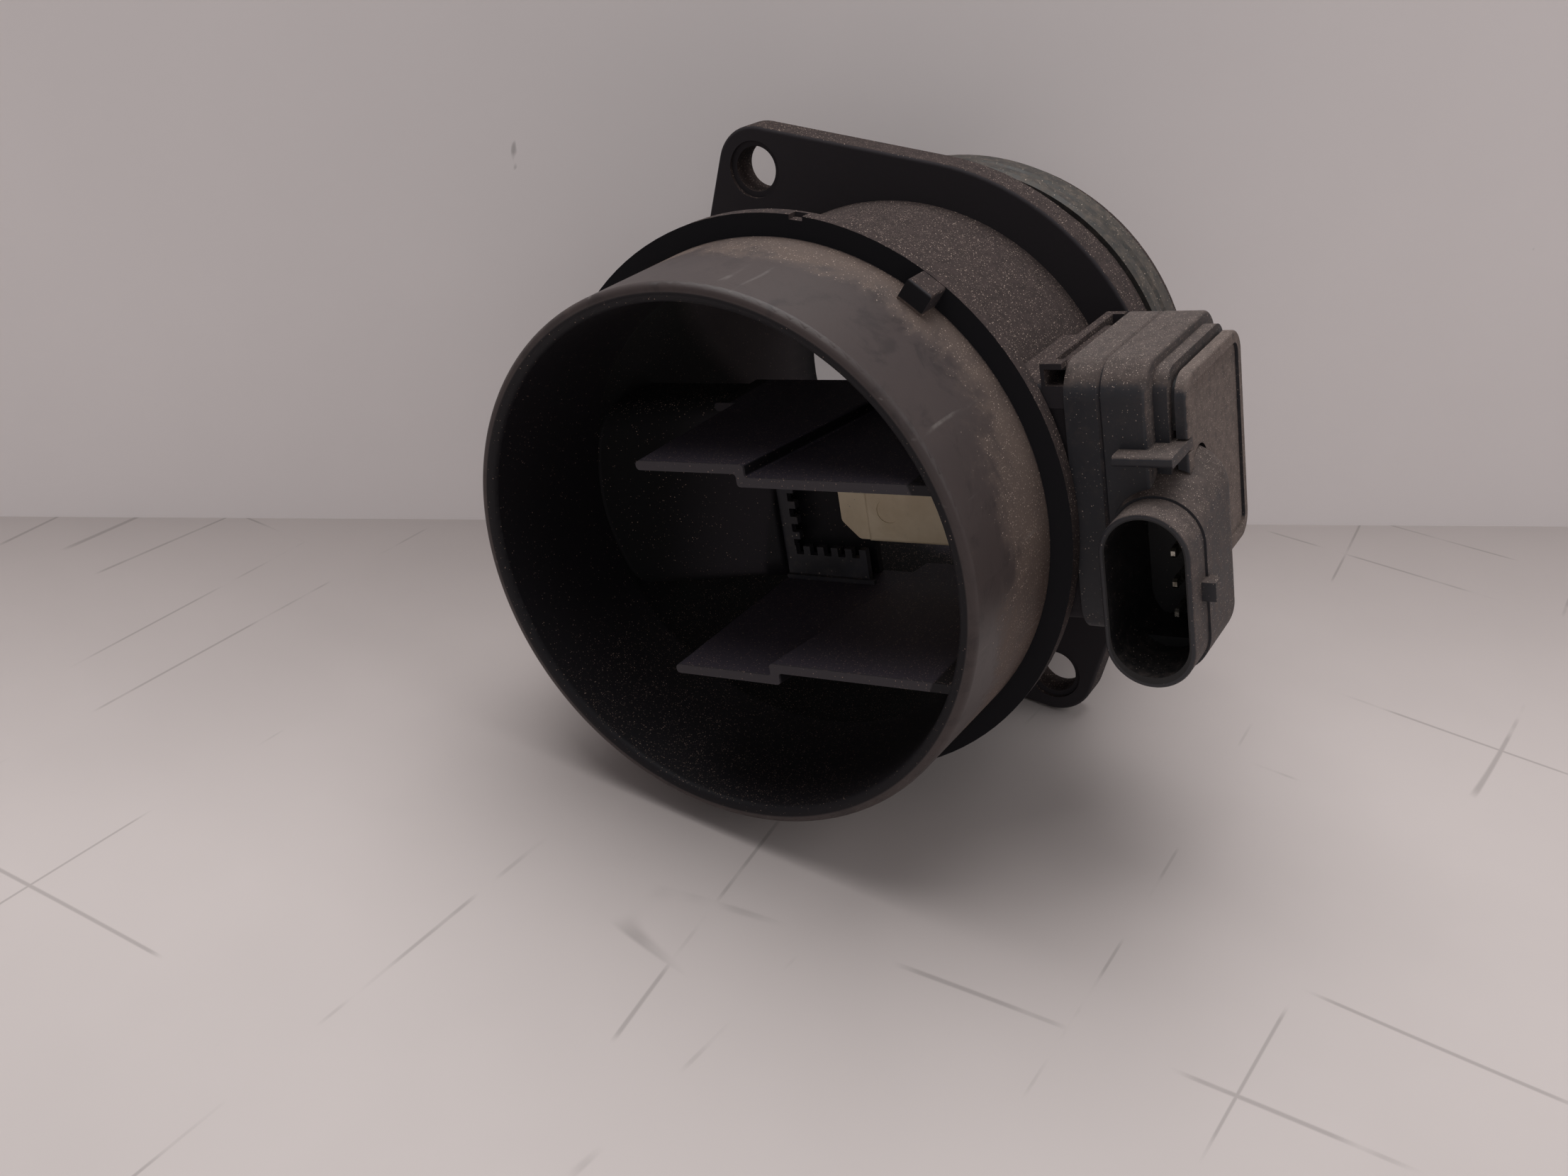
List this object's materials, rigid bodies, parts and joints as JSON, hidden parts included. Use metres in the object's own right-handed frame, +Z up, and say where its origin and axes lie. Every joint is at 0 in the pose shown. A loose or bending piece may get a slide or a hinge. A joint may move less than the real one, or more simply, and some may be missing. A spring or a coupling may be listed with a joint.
{
  "type": "mass airflow sensor",
  "caption": "Black plastic air duct with an eared bolt flange, guide plates and a sensing bar inside, and a side electronics box with an oval plug socket.",
  "frame": {"origin": "centre of the two flange holes' circle, on the duct's axis in the flange's rear face", "axes": "+Y along the duct from the intake mouth to the sealed rear spigot; +Z up with the part lying on its collar and lower flange ear; +X to the electronics side"},
  "size_m": [0.1128, 0.0965, 0.0924],
  "materials": {
    "duct_plastic": "moulded glass-filled black, dusty",
    "comb_plastic": "moulded black",
    "module_plastic": "moulded glass-filled black",
    "lid_plastic": "moulded black, dusty",
    "seal_rubber": "grey-green, dull",
    "gasket_rubber": "black, dull",
    "lid_sealant": "cured sealant",
    "carrier_plastic": "natural cream moulding",
    "film_ceramic": "fired, fine",
    "board_laminate": "solder mask",
    "chip_plastic": "moulding compound",
    "capacitor_ceramic": "sintered",
    "resistor_ceramic": "glazed",
    "terminal_metal": "tinned",
    "lead_metal": "tinned"
  },
  "bodies": {
    "root": {"housing": "duct_plastic", "rear_seal": "seal_rubber", "comb_frame": "comb_plastic", "sensor_carrier": "carrier_plastic", "carrier_cover": "carrier_plastic", "heater_element": "film_ceramic", "temperature_element": "film_ceramic", "module_base": "module_plastic", "base_seal": "gasket_rubber", "module_case": "module_plastic", "lid": "lid_plastic", "lid_seal": "lid_sealant", "circuit_board": "board_laminate", "control_chip": "chip_plastic", "amplifier_chip": "chip_plastic", "capacitor_1": "capacitor_ceramic", "capacitor_2": "capacitor_ceramic", "capacitor_3": "capacitor_ceramic", "resistor_1": "resistor_ceramic", "resistor_2": "resistor_ceramic", "resistor_3": "resistor_ceramic", "terminal_1": "terminal_metal", "terminal_2": "terminal_metal", "terminal_3": "terminal_metal", "terminal_4": "terminal_metal", "sensor_lead_1": "lead_metal", "sensor_lead_2": "lead_metal", "sensor_lead_3": "lead_metal", "sensor_lead_4": "lead_metal"}
  },
  "joints": []
}
